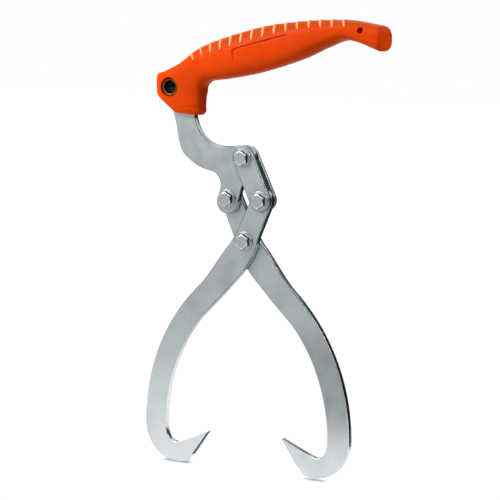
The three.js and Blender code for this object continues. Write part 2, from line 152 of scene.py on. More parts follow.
def makeOrangeMoulding():
    # Satin polypropylene from a fine spark-eroded mould: even orange, soft sheen, and rib crowns painted paler as a
    # painted highlight.
    look = {
        "orange": "#EB4A06", "deepOrange": "#E04304", "crownHighlight": "#FFB684", "groove": "#C04A0E", "valleyShadeAmount": 0.7,
        "cloudMm": 28, "grainMm": 0.7, "grainDepthMm": 0.02, "flowMm": 9, "roughness": 0.38, "specular": 0.03,
    }
    material, tree, shader, place = newMaterial("orangePolypropyleneSatinMoulded")
    clouds = noiseAt(place, look["cloudMm"], 3)
    grain = noiseAt(place, look["grainMm"], 2)  # coarser than the real 0.2 mm, which is too fine to show
    flow = noiseAt(stretchedAt(place, (0.35, 1, 1)), look["flowMm"], 2, distortion=0.6)
    ribOffset, ribHalf, valley = [attributeOf(tree, name) for name in ("ribOffset", "ribHalf", "valley")]
    crown = ramp(maths("DIVIDE", ribOffset, maths("MAXIMUM", ribHalf, 0.00001)), 1.0, 0.3)
    crown = maths("MULTIPLY", crown, ramp(ribHalf, 0.0001, 0.0006))
    body = mixColours(ramp(clouds, 0.35, 0.7), look["orange"], look["deepOrange"])
    # painted shade between the ribs, in the darker groove colour
    valleyShaded = mixColours(maths("MULTIPLY", valley, look["valleyShadeAmount"]), body, look["groove"])
    # painted highlight: the rib crowns are painted paler, in the colour of a highlight
    crownHighlightShare = maths("MULTIPLY", crown, ramp(flow, 0.15, 0.6, 0.75, 1.0))
    sheen = maths("ADD", ramp(flow, 0.3, 0.7, -0.04, 0.05), look["roughness"])
    low = bumpOf(flow, 0.05, 0.5)
    fill(tree, shader, {
        "Base Color": mixColours(crownHighlightShare, valleyShaded, look["crownHighlight"]),
        "Roughness": maths("MULTIPLY_ADD", crown, -0.08, sheen), "Specular IOR Level": look["specular"],
        "Normal": bumpOf(grain, look["grainDepthMm"], 0.8, low),
    })
    return material


def makeZincPlate():
    # Zinc plated and blue passivated after tumbling: cool grey with faint tints, and painted paler lower down as a
    # painted reflection of the pale floor.
    look = {
        "upper": "#C6CFD0", "lower": "#DDE2E7", "greenTint": "#AFC4BF", "violetTint": "#C9C6D1", "stain": "#A6AEB0",
        "tintMm": 34, "cloudMm": 11, "dimpleMm": 2.4, "scratchMm": 1.1, "roughness": 0.3,
        "floorReflectionFromZ": -0.224, "floorReflectionToZ": -0.318,
    }
    material, tree, shader, place = newMaterial("zincPlatedTumbledPressing")
    tint = noiseAt(place, look["tintMm"], 2)
    tintOther = noiseAt(stretchedAt(place, (1, 1, 1), (0.4, 0.3, 1.1)), look["tintMm"] * 0.8, 2)
    clouds = noiseAt(place, look["cloudMm"], 4, 0.6)
    dimples = noiseAt(place, look["dimpleMm"], 2)
    scratches = noiseAt(stretchedAt(place, (1, 1, 0.06), (0, 0.5, 0)), look["scratchMm"], 1)
    crossed = noiseAt(stretchedAt(place, (1, 1, 0.05), (0, -0.9, 0)), look["scratchMm"], 1)
    # painted reflection of the pale floor: the plates turn paler towards the bottom
    floorReflectionShare = ramp(heightOf(place), look["floorReflectionFromZ"], look["floorReflectionToZ"])
    body = mixColours(floorReflectionShare, look["upper"], look["lower"])
    greened = mixColours(ramp(tint, 0.45, 0.75, 0, 0.5), body, look["greenTint"])
    tinted = mixColours(ramp(tintOther, 0.45, 0.75, 0, 0.45), greened, look["violetTint"])
    lines = maths("MAXIMUM", ramp(scratches, 0.62, 0.72), ramp(crossed, 0.64, 0.74))
    rough = maths("ADD", ramp(clouds, 0.3, 0.7, -0.03, 0.05), look["roughness"])
    dimpled = bumpOf(dimples, 0.012, 0.5, bumpOf(clouds, 0.08, 0.2))
    fill(tree, shader, {
        "Base Color": mixColours(ramp(clouds, 0.5, 0.8, 0, 0.12), tinted, look["stain"]),
        "Metallic": 1, "Roughness": maths("MULTIPLY_ADD", lines, 0.03, rough),
        "Normal": bumpOf(lines, 0.003, 0.4, dimpled),
    })
    return material


def makeShearedEdge():
    # The blanked rim of a plate: a smooth sheared land at the front, a rougher and darker torn band behind it.
    look = {
        "land": "#CDD3D5", "torn": "#9AA2A4", "tear": "#6C7476", "floorReflectedLand": "#EEF1F3", "tearMm": 0.8, "wanderMm": 6,
        "roughness": 0.17, "floorReflectionFromZ": -0.2, "floorReflectionToZ": -0.25,
    }
    material, tree, shader, place = newMaterial("zincPlatedShearedRim")
    tears = noiseAt(stretchedAt(place, (1, 0.12, 1)), look["tearMm"], 2)
    wander = maths("MULTIPLY_ADD", noiseAt(place, look["wanderMm"], 2), 0.25, attributeOf(tree, "depthShare"))
    tornShare = ramp(wander, 0.42, 0.56)
    base = mixColours(tornShare, look["land"], look["torn"])
    teared = mixColours(ramp(tears, 0.5, 0.7, 0, 0.4), base, look["tear"])
    # painted reflection of the pale floor: the rim turns paler towards the bottom
    floorReflectionShare = ramp(heightOf(place), look["floorReflectionFromZ"], look["floorReflectionToZ"], 0, 0.85)
    fill(tree, shader, {
        "Base Color": mixColours(floorReflectionShare, teared, look["floorReflectedLand"]), "Metallic": 1,
        "Roughness": maths("MULTIPLY_ADD", tornShare, 0.14, look["roughness"]),
        "Normal": bumpOf(maths("MULTIPLY", tears, tornShare), 0.06, 0.6),
    })
    return material


def makeRolledEdge():
    # The edges rolled over by the die and tumbled, in a darker grey, so that each plate has a fine dark outline, which
    # fades on the jaws, where it is painted pale as a painted reflection of the floor.
    look = {
        "grey": "#646C6E", "worn": "#949C9E", "floorReflectedPale": "#D9DEE1", "patchMm": 5, "roughness": 0.26,
        "edgeReflectionFromZ": -0.17, "edgeReflectionToZ": -0.26,
    }
    material, tree, shader, place = newMaterial("zincPlatedRolledEdgeDarkGrey")
    patches = noiseAt(place, look["patchMm"], 3)
    greyed = mixColours(ramp(patches, 0.42, 0.7), look["grey"], look["worn"])
    # painted reflection of the pale floor, lower down
    fade = ramp(heightOf(place), look["edgeReflectionFromZ"], look["edgeReflectionToZ"])
    fill(tree, shader, {"Base Color": mixColours(fade, greyed, look["floorReflectedPale"]), "Metallic": 1,
                        "Roughness": look["roughness"]})
    return material


def makeGroundCut():
    # The hook's cut face, ground after plating, with the grinder's fine lines; its near black is a painted reflection
    # of dark surroundings.
    look = {"steel": "#2B2F31", "line": "#565C5E", "lineMm": 0.5, "roughness": 0.38}
    material, tree, shader, place = newMaterial("groundCutPaintedDark")
    lines = noiseAt(stretchedAt(place, (1, 0.06, 1)), look["lineMm"], 2)
    fill(tree, shader, {
        "Base Color": mixColours(ramp(lines, 0.5, 0.75, 0, 0.6), look["steel"], look["line"]),
        "Metallic": 0.8, "Roughness": look["roughness"], "Normal": bumpOf(lines, 0.01, 0.5),
    })
    return material


def makeBrightZinc():
    # Bright zinc on cold-forged screws: paler and glossier than the plates, with faint forging swirls. The six flats
    # are painted dark, a painted reflection, so that the heads stand out with a dark side; the flanges are painted a
    # little darker to dim their reflection.
    look = {"zinc": "#D3D9DB", "shade": "#BFC6C8", "flat": "#2B2E2F", "cloudMm": 3.2, "grainMm": 0.7, "roughness": 0.22}
    material, tree, shader, place = newMaterial("brightZincForgedHardware")
    clouds = noiseAt(place, look["cloudMm"], 3, 0.6)
    fine = noiseAt(place, look["grainMm"], 2)
    plated = mixColours(ramp(clouds, 0.4, 0.7, 0, 0.6), look["zinc"], look["shade"])
    fill(tree, shader, {
        "Base Color": mixColours(attributeOf(tree, "flat"), plated, look["flat"]), "Metallic": 1,
        "Roughness": ramp(clouds, 0.3, 0.7, look["roughness"] - 0.04, look["roughness"] + 0.08),
        "Normal": bumpOf(fine, 0.01, 0.4, bumpOf(clouds, 0.03, 0.3)),
    })
    return material


def makeRivetSteel():
    # The rolled rim of the tube: steel painted brown and dark, a painted shade of the recess with a painted reflection
    # of the orange walls.
    look = {"steel": "#94613F", "recessShadeBrown": "#5C3420", "patchMm": 2.5, "roughness": 0.3}
    material, tree, shader, place = newMaterial("tubeRimPaintedShade")
    patches = noiseAt(place, look["patchMm"], 3)
    fill(tree, shader, {
        "Base Color": mixColours(ramp(patches, 0.35, 0.65), look["steel"], look["recessShadeBrown"]),
        "Metallic": 0.9,
        "Roughness": ramp(patches, 0.3, 0.7, look["roughness"] - 0.05, look["roughness"] + 0.1),
    })
    return material


def makeDarkBore():
    # Inside of the tube: painted near black, a painted shade of the deep bore, with hardly any shine.
    look = {"dark": "#020303", "streak": "#0A0A09", "streakMm": 1.4, "specular": 0.12}
    material, tree, shader, place = newMaterial("tubeBorePaintedShade")
    streaks = noiseAt(stretchedAt(place, (1, 0.15, 1)), look["streakMm"], 3)
    fill(tree, shader, {
        "Base Color": mixColours(ramp(streaks, 0.35, 0.7), look["dark"], look["streak"]),
        "Specular IOR Level": look["specular"], "Roughness": ramp(streaks, 0.3, 0.7, 0.42, 0.6),
    })
    return material


orangeMoulding = makeOrangeMoulding()
zincPlate = makeZincPlate()
shearedEdge = makeShearedEdge()
rolledEdge = makeRolledEdge()
groundCut = makeGroundCut()
brightZinc = makeBrightZinc()
rivetSteel = makeRivetSteel()
darkBore = makeDarkBore()
print("materials made")


def newPiece(name, vertices, faces, materials):
    mesh = bpy.data.meshes.new(name)
    mesh.from_pydata(vertices, [], faces)
    mesh.update()
    for material in materials:
        mesh.materials.append(material)
    piece = bpy.data.objects.new(name, mesh)
    bpy.context.scene.collection.objects.link(piece)
    return piece


def settle(piece, body, nodes):
    # kept inside the CAD box, rides on its body and stands for its CAD nodes, which it hides
    for vertex in piece.data.vertices:
        vertex.co = [min(max(value, low), high) for value, low, high in zip(vertex.co, *cadBox)]
    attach(piece, body)
    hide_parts(*nodes)


def shadeByAngle(mesh, degrees):
    mesh.polygons.foreach_set("use_smooth", [True] * len(mesh.polygons))
    mesh.set_sharp_from_angle(angle=math.radians(degrees))


def outward(piece):
    editing = bmesh.new()
    editing.from_mesh(piece.data)
    bmesh.ops.recalc_face_normals(editing, faces=editing.faces)
    if editing.calc_volume(signed=True) < 0:
        bmesh.ops.reverse_faces(editing, faces=editing.faces)
    editing.to_mesh(piece.data)
    editing.free()
    return piece


def applied(piece):
    # the piece as its modifiers leave it, as a plain mesh
    evaluated = piece.evaluated_get(bpy.context.evaluated_depsgraph_get())
    mesh = bpy.data.meshes.new_from_object(evaluated)
    piece.modifiers.clear()
    old = piece.data
    piece.data = mesh
    bpy.data.meshes.remove(old)


def cutWith(piece, cutter):
    change = piece.modifiers.new("cut", "BOOLEAN")
    change.operation = "DIFFERENCE"
    change.solver = "MANIFOLD"
    change.object = cutter
    applied(piece)
    bpy.data.objects.remove(cutter)


def turnAngles(sides):
    return [2 * math.pi * i / sides for i in range(sides)]


def circle(centre, radius, sides=64):
    return [(centre[0] + radius * math.cos(a), centre[1] + radius * math.sin(a)) for a in turnAngles(sides)]


def loftFaces(rings, closed):
    # closed joins the last ring of points to the first, or else a fan closes each end
    count = len(rings[0])
    vertices, faces = [point for ring in rings for point in ring], []
    for r in range(len(rings) if closed else len(rings) - 1):
        low, high = r * count, (r + 1) % len(rings) * count
        for i in range(count):
            j = (i + 1) % count
            faces.append((low + i, low + j, high + j, high + i))
    for r in () if closed else (0, len(rings) - 1):
        middle = len(vertices)
        vertices.append(tuple(np.mean(np.array(rings[r]), axis=0)))
        for i in range(count):
            a, b = r * count + i, r * count + (i + 1) % count
            faces.append((a, b, middle) if r else (b, a, middle))
    return vertices, faces


def makeSolid(name, rings, materials=(), closed=False, place=toRow):
    # a solid through rings of the same length, each a list of (x, y, z) in millimetres
    vertices, faces = loftFaces(rings, closed)
    return outward(newPiece(name, [place(*vertex) for vertex in vertices], faces, materials))


# outlines, in the drawing's millimetres
linkage = {"side": 33.8, "halfAngle": 25, "lean": 0.8, "plate": 5, "link": 3, "gap": 0.3, "stripHalfWidth": 8.3,
           "linkHole": 3.25}
leanAngle = math.radians(linkage["lean"])


def leant(point):
    x, z = point
    return (x * math.cos(leanAngle) - z * math.sin(leanAngle), x * math.sin(leanAngle) + z * math.cos(leanAngle))


halfWide = linkage["side"] * math.sin(math.radians(linkage["halfAngle"]))
halfHigh = linkage["side"] * math.cos(math.radians(linkage["halfAngle"]))
mainPivot = (0.0, 0.0)
drawnArmTop = (-halfWide, halfHigh)
bracketPivot = leant(drawnArmTop)
lowerLinkPivot = leant((halfWide, halfHigh))
upperLinkPivot = leant((0.0, 2 * halfHigh))
rearLayer = linkage["plate"] + linkage["gap"]
middleY = linkage["plate"] / 2

grip = {
    "length": 180.3, "height": 72.1, "setback": 73.35, "rise": 90.7, "width": 26, "tangClearance": 0.3,
    "rivetShare": (0.0729, 0.2789), "smallHoleShare": (0.9184, 0.8891), "smallHoleRadius": 2.2,
    "collarLeftShare": (0.0674, 0.0277), "collarRightShare": (0.1695, -0.0159),
}


def inGrip(share):
    return (share[0] * grip["length"] - grip["setback"], share[1] * grip["height"] + grip["rise"])


def between(start, end):
    return lambda share: (start[0] + (end[0] - start[0]) * share[0], start[1] + (end[1] - start[1]) * share[1])


def headingOf(start, end):
    return math.atan2(end[1] - start[1], end[0] - start[0])


def beside(start, end, along, off):
    heading = headingOf(start, end)
    return (start[0] + along * math.cos(heading) - off * math.sin(heading),
            start[1] + along * math.sin(heading) + off * math.cos(heading))


def arcPoints(centre, radius, start, end, stepDegrees=5):
    steps = max(2, math.ceil(abs(end - start) / math.radians(stepDegrees)))
    angles = [start + (end - start) * i / steps for i in range(steps + 1)]
    return [(centre[0] + radius * math.cos(a), centre[1] + radius * math.sin(a)) for a in angles]


def carryOn(points, rows, place, steps=26):
    # a row of one share is a straight line, a row of three is a curve with two pulling points
    for row in rows:
        targets = [place(share) for share in row]
        if len(targets) == 1:
            points.append(targets[0])
            continue
        a, (b, c, d) = points[-1], targets
        for i in range(1, steps + 1):
            t = i / steps
            k = ((1 - t) ** 3, 3 * t * (1 - t) ** 2, 3 * t * t * (1 - t), t ** 3)
            points.append(tuple(k[0] * a[n] + k[1] * b[n] + k[2] * c[n] + k[3] * d[n] for n in (0, 1)))


def signedArea(loop):
    return sum(a[0] * b[1] - b[0] * a[1] for a, b in zip(loop, loop[1:] + loop[:1])) / 2


def cleaned(loop, leftTurning, closest=0.02):
    # no doubled points, and turning the wanted way
    kept = []
    for point in loop:
        if not kept or math.dist(point, kept[-1]) > closest:
            kept.append(point)
    if math.dist(kept[0], kept[-1]) < closest:
        kept.pop()
    return kept if (signedArea(kept) > 0) == leftTurning else kept[::-1]


def insetLoop(loop, distance, longest=2.2):
    # moves a loop to its left, which is into the metal on the outline and on every hole
    result = []
    count = len(loop)
    for i, point in enumerate(loop):
        before, after = loop[i - 1], loop[(i + 1) % count]
        normals = []
        for a, b in ((before, point), (point, after)):
            length = math.dist(a, b)
            normals.append(((a[1] - b[1]) / length, (b[0] - a[0]) / length))
        mx, mz = normals[0][0] + normals[1][0], normals[0][1] + normals[1][1]
        size = math.hypot(mx, mz) or 1
        mx, mz = mx / size, mz / size
        reach = min(longest, 1 / max(0.1, mx * normals[0][0] + mz * normals[0][1]))
        result.append((point[0] + mx * distance * reach, point[1] + mz * distance * reach))
    return result


plateEdges = {"dieRoll": 0.55, "rearEdge": 0.35, "steps": 4, "sharpFrom": 32}


def nearLine(point, start, end, reach=0.5):
    span = (end[0] - start[0], end[1] - start[1])
    along = ((point[0] - start[0]) * span[0] + (point[1] - start[1]) * span[1]) / (span[0] ** 2 + span[1] ** 2)
    off = math.dist(point, (start[0] + span[0] * along, start[1] + span[1] * along))
    return 0 < along < 1 and off < reach


def makePlate(name, outline, holes, frontY, thickness, body, node, cut=None):
    # A blanked plate: flat faces, edges rolled by the die at the front and tumbled at the rear. A hook also has
    # a face cut by a grinder, between two points of its outline.
    loops = [cleaned(outline, True)] + [cleaned(hole, False) for hole in holes]
    roll, rear, steps = plateEdges["dieRoll"], plateEdges["rearEdge"], plateEdges["steps"]
    quarter = [math.pi / 2 * i / steps for i in range(steps + 1)]
    rows = [(roll * (1 - math.sin(a)), frontY + roll * (1 - math.cos(a))) for a in quarter]
    rows += [(rear * (1 - math.sin(a)), frontY + thickness - rear * (1 - math.cos(a))) for a in quarter[::-1]]
    perRow = sum(len(loop) for loop in loops)
    vertices, faces, depths = [], [], []
    for inset, y in rows:
        for loop in loops:
            vertices += [toRow(x, y, z) for x, z in insetLoop(loop, inset)]
        depths += [(y - frontY) / thickness] * perRow
    for r in range(len(rows) - 1):
        start = r * perRow
        for loop in loops:
            for i in range(len(loop)):
                a, b = start + i, start + (i + 1) % len(loop)
                faces.append((a, b, b + perRow, a + perRow))
            start += len(loop)
    wallCount = len(faces)
    for r, turned in ((0, True), (len(rows) - 1, False)):
        flat = [[Vector((x, z, 0)) for x, z in insetLoop(loop, rows[r][0])] for loop in loops]
        for triangle in tessellate_polygon(flat):
            a, b, c = [vertices[r * perRow + k] for k in triangle]
            # a left turn in X and Z, seen from the front, faces the viewer
            leftTurn = (b[0] - a[0]) * (c[2] - a[2]) - (b[2] - a[2]) * (c[0] - a[0]) > 0
            ordered = triangle if leftTurn == turned else triangle[::-1]
            faces.append(tuple(r * perRow + k for k in ordered))
    piece = newPiece(name, vertices, faces, [zincPlate, shearedEdge, rolledEdge, groundCut])
    mesh = piece.data
    for polygon in mesh.polygons:
        polygon.use_smooth = polygon.index < wallCount
    for wall in mesh.polygons[:wallCount]:
        row = wall.index // perRow
        wall.material_index = 1 if row == steps else 2
        centre = ((wall.center.x - drawingZero.x) / mm, (wall.center.z - drawingZero.z) / mm)
        if cut and row <= steps and nearLine(centre, *cut):
            wall.material_index = 3
    mesh.attributes.new("depthShare", "FLOAT", "POINT").data.foreach_set("value", depths)
    editing = bmesh.new()
    editing.from_mesh(mesh)
    bmesh.ops.recalc_face_normals(editing, faces=editing.faces)
    sharpFrom = math.radians(plateEdges["sharpFrom"])
    for edge in editing.edges:
        if len(edge.link_faces) == 2:
            edge.smooth = all(face.smooth for face in edge.link_faces) and edge.calc_face_angle(0) < sharpFrom
    editing.to_mesh(mesh)
    editing.free()
    settle(piece, body, [node])


jawArm = {
    "reach": 83.9, "drop": 172.4, "tipReach": 29.4, "tipDrop": 145.7, "shoulderReach": 29, "holeRadius": 4.75,
    "inner": [
        [(-0.135, -0.012)],
        [(-0.09, 0.105), (0.12, 0.185), (0.216, 0.241)],
        [(0.431, 0.345)],
        [(0.662, 0.473), (0.79, 0.662), (0.79, 0.829)],
        [(0.79, 0.856), (0.782, 0.911), (0.679, 0.911)],
        [(0.588, 0.896)],
    ],
    "outer": [
        [(0.509, 0.957)],
        [(0.566, 0.99)],
        [(0.64, 0.998)],
        [(0.88, 1.004), (1, 0.907), (1, 0.829)],
        [(0.999, 0.708), (0.948, 0.448), (0.486, 0.221)],
        [(0.347, 0.162), (0.266, 0.082), (0.138, 0.012)],
    ],
}


def jawArmOutline():
    strip = linkage["stripHalfWidth"]
    heading = headingOf(drawnArmTop, mainPivot)
    inArm = between(mainPivot, (jawArm["reach"], -jawArm["drop"]))
    points = arcPoints(drawnArmTop, strip, heading + math.pi / 2, heading + math.pi * 3 / 2)
    carryOn(points, jawArm["inner"], inArm)
    points.append((jawArm["tipReach"], -jawArm["tipDrop"]))
    carryOn(points, jawArm["outer"], inArm)
    points.append(beside(drawnArmTop, mainPivot, jawArm["shoulderReach"], strip))
    cut = [(jawArm["tipReach"], -jawArm["tipDrop"]), inArm(jawArm["outer"][0][0])]
    return points, [circle(drawnArmTop, jawArm["holeRadius"]), circle(mainPivot, jawArm["holeRadius"])], cut


bracket = {
    "bossRadius": 8.9, "toeRadius": 8.5, "toeDrop": 2.7, "legRight": 7.3, "legStart": 12, "legEnd": 24,
    "left": [
        [(0.847, 0.736), (0.903, 0.572), (0.678, 0.489)],
        [(0.517, 0.412), (0.356, 0.361), (0.161, 0.348)],
        [(0.033, 0.339), (-0.055, 0.287), (-0.074, 0.208)],
        [(-0.087, 0.133), (0, 0.065), (0, 0)],
    ],
    "top": [
        [(0.125, 0), (0.271, -0.076), (0.417, -0.076)],
        [(0.679, -0.076), (0.913, 0.206), (1, 1)],
    ],
    "tang": [
        [(0.17, 0.233)],
        [(0.173, 0.414), (0.237, 0.471), (0.339, 0.536)],
        [(0.475, 0.613), (0.576, 0.722), (0.652, 0.8)],
        [(0.691, 0.831), (0.691, 0.914), (0.652, 0.902)],
        [(0.475, 0.825), (0.305, 0.645), (0.197, 0.542)],
        [(0.118, 0.465), (0.024, 0.401), (0.024, 0.292)],
        [(0.024, 0.211), (0.069, 0.16), (0.069, 0.089)],
    ],
    "rivetHoleRadius": 5.8,
}


def bracketOutline():
    heading = headingOf(bracketPivot, upperLinkPivot)
    toe = (bracketPivot[0], bracketPivot[1] - bracket["toeDrop"])
    toeLeft = (toe[0] - bracket["toeRadius"], toe[1])
    bossTop = (upperLinkPivot[0], upperLinkPivot[1] + bracket["bossRadius"])
    collarLeft, collarRight = inGrip(grip["collarLeftShare"]), inGrip(grip["collarRightShare"])
    points = [collarLeft]
    carryOn(points, bracket["left"], between(toeLeft, collarLeft))
    points += arcPoints(toe, bracket["toeRadius"], math.pi, heading + math.pi * 3 / 2)
    points.append(beside(bracketPivot, upperLinkPivot, bracket["legStart"], -bracket["legRight"]))
    points.append(beside(bracketPivot, upperLinkPivot, bracket["legEnd"], -bracket["legRight"]))
    points += arcPoints(upperLinkPivot, bracket["bossRadius"], heading - math.pi / 2, math.pi / 2)
    carryOn(points, bracket["top"], between(bossTop, collarRight))
    carryOn(points, bracket["tang"], inGrip)
    holes = [circle(bracketPivot, jawArm["holeRadius"]), circle(upperLinkPivot, jawArm["holeRadius"]),
             circle(inGrip(grip["rivetShare"]), bracket["rivetHoleRadius"])]
    return points, holes


def linkOutline():
    strip = linkage["stripHalfWidth"]
    heading = headingOf(upperLinkPivot, lowerLinkPivot)
    points = arcPoints(upperLinkPivot, strip, heading + math.pi / 2, heading + math.pi * 3 / 2)
    points += arcPoints(lowerLinkPivot, strip, heading - math.pi / 2, heading + math.pi / 2)
    return points, [circle(pivot, linkage["linkHole"]) for pivot in (upperLinkPivot, lowerLinkPivot)]


armLoop, armHoles, armCut = jawArmOutline()
bracketLoop, bracketHoles = bracketOutline()
linkLoop, linkHoles = linkOutline()
plateThick, linkThick = linkage["plate"], linkage["link"]


def placedArm(side):
    # the drawn arm, leant with the linkage; side -1 turns it over
    def place(points):
        return [leant((side * x, z)) for x, z in points]

    return place(armLoop), [place(hole) for hole in armHoles], place(armCut)


makePlate("bracketPlate", bracketLoop, bracketHoles, 0, plateThick, "grip", "bracket")
makePlate("frontLinkPlate", linkLoop, linkHoles, -linkage["gap"] - linkThick, linkThick, "links", "front_link")
makePlate("rearLinkPlate", linkLoop, linkHoles, rearLayer, linkThick, "links", "rear_link")
for side, name, frontY, body in ((1, "rightJawArmPlate", rearLayer, "right_jaw"),
                                 (-1, "leftJawArmPlate", 0, "left_jaw")):
    loop, holes, cut = placedArm(side)
    makePlate(name, loop, holes, frontY, plateThick, body, body + "_arm", cut)
print("plates made")

# The grip: a loft of sections from its free end round into the collar. A row has the outer x and z and the inner
# x and z as shares of the grip, half widths at the outer and the inner edge as shares of its width, squareness.
sectionRows = np.array([
    (1, 0.869, 1, 0.741, 0.385, 0.385, 3.4),
    (0.999, 0.883, 0.999, 0.727, 0.42, 0.42, 3.4),
    (0.989, 0.931, 0.989, 0.692, 0.48, 0.48, 3.2),
    (0.958, 0.949, 0.961, 0.713, 0.5, 0.49, 3),
    (0.879, 0.981, 0.892, 0.772, 0.5, 0.48, 2.6),
    (0.825, 0.987, 0.832, 0.786, 0.5, 0.48, 2.5),
    (0.741, 0.983, 0.749, 0.709, 0.5, 0.49, 2.5),
    (0.63, 0.962, 0.64, 0.586, 0.5, 0.5, 2.5),
    (0.485, 0.911, 0.468, 0.451, 0.5, 0.5, 2.5),
    (0.329, 0.808, 0.321, 0.377, 0.5, 0.5, 2.6),
    (0.196, 0.684, 0.244, 0.35, 0.5, 0.44, 2.8),
    (0.107, 0.527, 0.213, 0.298, 0.5, 0.38, 3.2),
    (0.038, 0.441, 0.208, 0.22, 0.5, 0.34, 3.6),
    (0.003, 0.405, 0.206, 0.174, 0.5, 0.32, 3.6),
    (0, 0.29, 0.205, 0.12, 0.5, 0.31, 3.6),
    (0.005, 0.193, 0.205, 0.075, 0.49, 0.31, 3.4),
    (0.048, 0.091, 0.207, 0.033, 0.45, 0.29, 3),
    (0.076, 0.023, 0.197, 0, 0.36, 0.26, 2.6),
])


def sectionsAt(places):
    # smooth columns through the rows, read at places from 0, the free end, to 1, the collar's underside
    count = len(sectionRows)
    t = np.clip(places, 0, 1) * (count - 1)
    i = np.minimum(t.astype(int), count - 2)
    w = (t - i)[:, None]
    p0, p1 = sectionRows[np.maximum(i - 1, 0)], sectionRows[i]
    p2, p3 = sectionRows[i + 1], sectionRows[np.minimum(i + 2, count - 1)]
    v0, v1 = (p2 - p0) / 2, (p3 - p1) / 2
    return (2 * p1 - 2 * p2 + v0 + v1) * w ** 3 + (-3 * p1 + 3 * p2 - 2 * v0 - v1) * w ** 2 + v0 * w + p1


def sectionEnds(sections):
    # where each section's outer and inner end lie in the side view
    scale, zero = (grip["length"], grip["height"]), (-grip["setback"], grip["rise"])
    return sections[:, 0:2] * scale + zero, sections[:, 2:4] * scale + zero


def halfWidthAt(outer, inner, up):
    return (outer + (inner - outer) * (1 - up) / 2) * grip["width"]


gripMesh = {
    "coarseStep": 0.95, "fineStep": 0.42, "fineFromShare": 0.1, "fineToShare": 0.72, "sidesToRidge": 24,
    "sidesToBottom": 30, "gatherAbove": 1.35, "gatherBelow": 1.2, "sunkBetween": (-0.5, 0.45), "arcSteps": 800,
    "denseSteps": 4000,
}
ribs = {
    "count": 15, "firstShare": 0.158, "lastShare": 0.715, "width": 2.7, "rise": 0.4, "lean": -5.0, "ledge": 0.35,
    "ledgePlaces": (0.11, 0.2, 0.53, 0.62), "ledgeFrom": 0.45, "ledgeDeepest": 0.97, "ledgeEnd": 0.985,
    "stopShort": 0.95, "leanPower": 1.25, "tipPower": 8.0, "tipRise": 0.35, "crownPower": 2.6,
    "valleyShadeFull": 0.0028, "valleyShadeLeast": 0.7, "valleyShadeEnds": 0.98, "valleyShadeFades": 0.86, "sharpFrom": 38,
}
# where the moulded ridge line runs on the grip's side, as shares of its length and height
ridgeShares = [(0.191, 0.541), (0.241, 0.593), (0.345, 0.678), (0.479, 0.777), (0.61, 0.856), (0.679, 0.882),
               (0.748, 0.894), (0.812, 0.897), (0.896, 0.886), (0.95, 0.863)]

densePlaces = np.linspace(0, 1, gripMesh["denseSteps"] + 1)
denseOuter, denseInner = sectionEnds(sectionsAt(densePlaces))
denseLengths = np.concatenate([[0], np.cumsum(np.linalg.norm(np.diff(denseOuter, axis=0), axis=1))])
outerLength = denseLengths[-1]


def placeFor(point, reach=0.3):
    # the section that passes through a point of the side view, and how far up it the point is, from -1 to 1
    span, toPoint = denseOuter - denseInner, np.array(point) - denseInner
    crossing = span[:, 0] * toPoint[:, 1] - span[:, 1] * toPoint[:, 0]
    share = (span * toPoint).sum(1) / (span ** 2).sum(1)
    near = (share[:-1] > -reach) & (share[:-1] < 1 + reach)
    turns = np.where((np.sign(crossing[:-1]) != np.sign(crossing[1:])) & near)[0]
    best = turns[0] if len(turns) else int(np.argmin(np.abs(crossing)))
    return densePlaces[best], 2 * share[best] - 1


ridgeAt, ridgeUp = np.array(sorted(placeFor(inGrip(share)) for share in ridgeShares)).T


def gripRings(sunk=(0.0, 0.0), fine=True):
    # Rings of points round the grip: even steps along it, columns gathered so that one follows the ridge line.
    # sunk is by how much they lie under the skin, low on the grip and high on it.
    marks = [0.0]
    while marks[-1] < outerLength:
        isFine = fine and gripMesh["fineFromShare"] < marks[-1] / outerLength < gripMesh["fineToShare"]
        marks.append(marks[-1] + (gripMesh["fineStep"] if isFine else gripMesh["coarseStep"]))
    marks = np.array(marks) * outerLength / marks[-1]
    places = np.interp(marks, denseLengths, densePlaces)
    sections = sectionsAt(places)
    outer, inner = sectionEnds(sections)
    middle, half = (outer + inner) / 2, (outer - inner) / 2
    halfLength = np.linalg.norm(half, axis=1)
    direction = half / halfLength[:, None]
    power = 2 / sections[:, 6]
    angles = np.linspace(0, math.pi, gripMesh["arcSteps"] + 1)
    up = np.sign(np.cos(angles))[None] * np.abs(np.cos(angles))[None] ** power[:, None]
    side = np.abs(np.sin(angles))[None] ** power[:, None]
    upPlace = up * (halfLength[:, None] - max(sunk))
    halfWidth = halfWidthAt(sections[:, 4:5], sections[:, 5:6], up)
    sidePlace = side * (halfWidth - np.interp(up, gripMesh["sunkBetween"], sunk))
    lengths = np.concatenate([np.zeros((len(places), 1)),
                              np.cumsum(np.hypot(np.diff(upPlace), np.diff(sidePlace)), axis=1)], axis=1)
    ridge = np.interp(places, ridgeAt, ridgeUp)
    columnsTop = 1 - (1 - np.linspace(0, 1, gripMesh["sidesToRidge"] + 1)) ** gripMesh["gatherAbove"]
    columnsBottom = np.linspace(0, 1, gripMesh["sidesToBottom"] + 1)[1:] ** gripMesh["gatherBelow"]
    rings, across = [], []
    for k in range(len(places)):
        ridgeLength = np.interp(-ridge[k], -up[k], lengths[k])
        wanted = np.concatenate([columnsTop * ridgeLength,
                                 ridgeLength + columnsBottom * (lengths[k][-1] - ridgeLength)])
        upHere = np.interp(wanted, lengths[k], upPlace[k])
        sideHere = np.interp(wanted, lengths[k], sidePlace[k])
        front = [(middle[k][0] + direction[k][0] * u, middleY - s, middle[k][1] + direction[k][1] * u)
                 for u, s in zip(upHere, sideHere)]
        rings.append(front + [(x, 2 * middleY - y, z) for x, y, z in front[1:-1]][::-1])
        shares = list(wanted / ridgeLength)
        across.append(shares + shares[1:-1][::-1])
    return marks, places, rings, across


